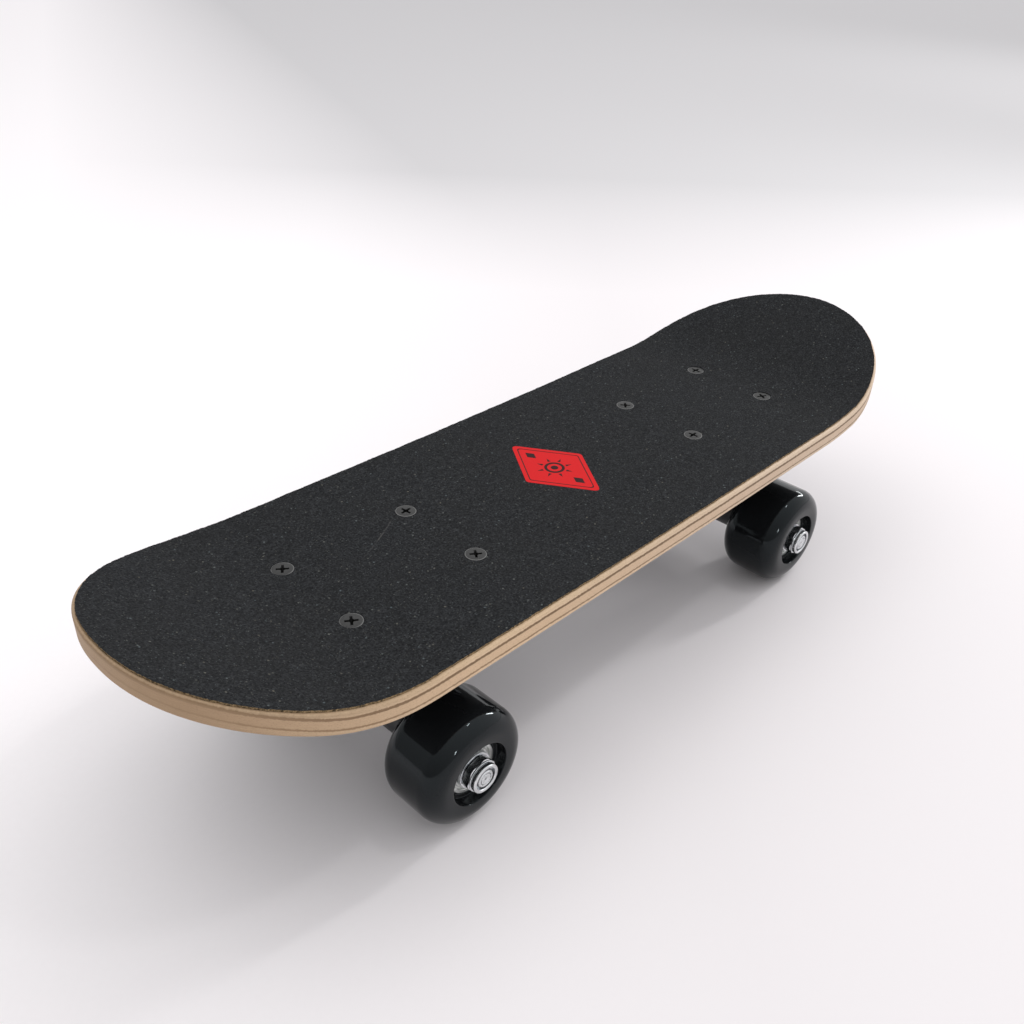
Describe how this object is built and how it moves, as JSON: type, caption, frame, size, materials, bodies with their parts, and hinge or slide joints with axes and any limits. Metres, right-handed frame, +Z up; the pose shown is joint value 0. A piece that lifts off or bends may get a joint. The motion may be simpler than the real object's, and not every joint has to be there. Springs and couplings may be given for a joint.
{
  "type": "mini skateboard",
  "caption": "Small double-kick skateboard: plywood deck with black grip tape on sprung trucks with glossy black wheels.",
  "frame": {"origin": "on the floor under the middle of the deck's length and width, with the wheels touching z = 0", "axes": "+X along the deck to the nose, +Y to the rider's left, +Z up"},
  "size_m": [0.4318, 0.1382, 0.1061],
  "materials": {
    "plywood": "pressed maple plies, sanded edge",
    "grip": "charcoal abrasive sheet with fine bright grains",
    "dark_steel": "blackened, satin",
    "truck": "cast, black painted",
    "wheel": "glossy black moulding",
    "bearing": "ground steel",
    "zinc": "zinc plated",
    "bushing": "cast urethane, satin",
    "pivot_rubber": "matt rubber"
  },
  "bodies": {
    "deck": {"deck": "plywood", "grip_tape": "grip", "tail_bolt_1": "dark_steel", "tail_lock_nut_1": "zinc", "tail_bolt_2": "dark_steel", "tail_lock_nut_2": "zinc", "tail_bolt_3": "dark_steel", "tail_lock_nut_3": "zinc", "tail_bolt_4": "dark_steel", "tail_lock_nut_4": "zinc", "tail_baseplate": "truck", "tail_pivot_cup": "pivot_rubber", "tail_kingpin": "zinc", "tail_kingpin_nut": "zinc", "tail_bushing_board": "bushing", "tail_bushing_road": "bushing", "tail_cup_washer_board": "zinc", "tail_cup_washer_road": "zinc", "nose_bolt_1": "dark_steel", "nose_lock_nut_1": "zinc", "nose_bolt_2": "dark_steel", "nose_lock_nut_2": "zinc", "nose_bolt_3": "dark_steel", "nose_lock_nut_3": "zinc", "nose_bolt_4": "dark_steel", "nose_lock_nut_4": "zinc", "nose_baseplate": "truck", "nose_pivot_cup": "pivot_rubber", "nose_kingpin": "zinc", "nose_kingpin_nut": "zinc", "nose_bushing_board": "bushing", "nose_bushing_road": "bushing", "nose_cup_washer_board": "zinc", "nose_cup_washer_road": "zinc"},
    "tail_truck": {"tail_hanger": "truck", "tail_axle": "zinc", "tail_axle_washer_left": "zinc", "tail_axle_washer_right": "zinc", "tail_axle_nut_left": "zinc", "tail_axle_nut_right": "zinc"},
    "tail_left_wheel": {"tail_wheel_left": "wheel", "tail_bearing_left_outer": "bearing", "tail_bearing_left_inner": "bearing"},
    "tail_right_wheel": {"tail_wheel_right": "wheel", "tail_bearing_right_outer": "bearing", "tail_bearing_right_inner": "bearing"},
    "nose_truck": {"nose_hanger": "truck", "nose_axle": "zinc", "nose_axle_washer_left": "zinc", "nose_axle_washer_right": "zinc", "nose_axle_nut_left": "zinc", "nose_axle_nut_right": "zinc"},
    "nose_left_wheel": {"nose_wheel_left": "wheel", "nose_bearing_left_outer": "bearing", "nose_bearing_left_inner": "bearing"},
    "nose_right_wheel": {"nose_wheel_right": "wheel", "nose_bearing_right_outer": "bearing", "nose_bearing_right_inner": "bearing"}
  },
  "joints": [
    {"name": "tail_steer", "type": "hinge", "parent": "deck", "child": "tail_truck", "pos_m": [-0.09059, 0, 0.04104], "axis": [0.9363, 0, -0.3512], "range_deg": [-10, 10], "stiffness_Nm_per_rad": 30, "deforming": ["tail_bushing_board", "tail_bushing_road"]},
    {"name": "nose_steer", "type": "hinge", "parent": "deck", "child": "nose_truck", "pos_m": [0.08199, 0, 0.04104], "axis": [0.9363, 0, 0.3512], "range_deg": [-10, 10], "stiffness_Nm_per_rad": 30, "deforming": ["nose_bushing_board", "nose_bushing_road"]},
    {"name": "tail_left_wheel_spin", "type": "hinge", "parent": "tail_truck", "child": "tail_left_wheel", "pos_m": [-0.11571, 0.0506, 0.02463], "axis": [0, 1, 0], "continuous": true},
    {"name": "tail_right_wheel_spin", "type": "hinge", "parent": "tail_truck", "child": "tail_right_wheel", "pos_m": [-0.11571, -0.0506, 0.02463], "axis": [0, 1, 0], "continuous": true},
    {"name": "nose_left_wheel_spin", "type": "hinge", "parent": "nose_truck", "child": "nose_left_wheel", "pos_m": [0.10711, 0.0506, 0.02463], "axis": [0, 1, 0], "continuous": true},
    {"name": "nose_right_wheel_spin", "type": "hinge", "parent": "nose_truck", "child": "nose_right_wheel", "pos_m": [0.10711, -0.0506, 0.02463], "axis": [0, 1, 0], "continuous": true}
  ]
}
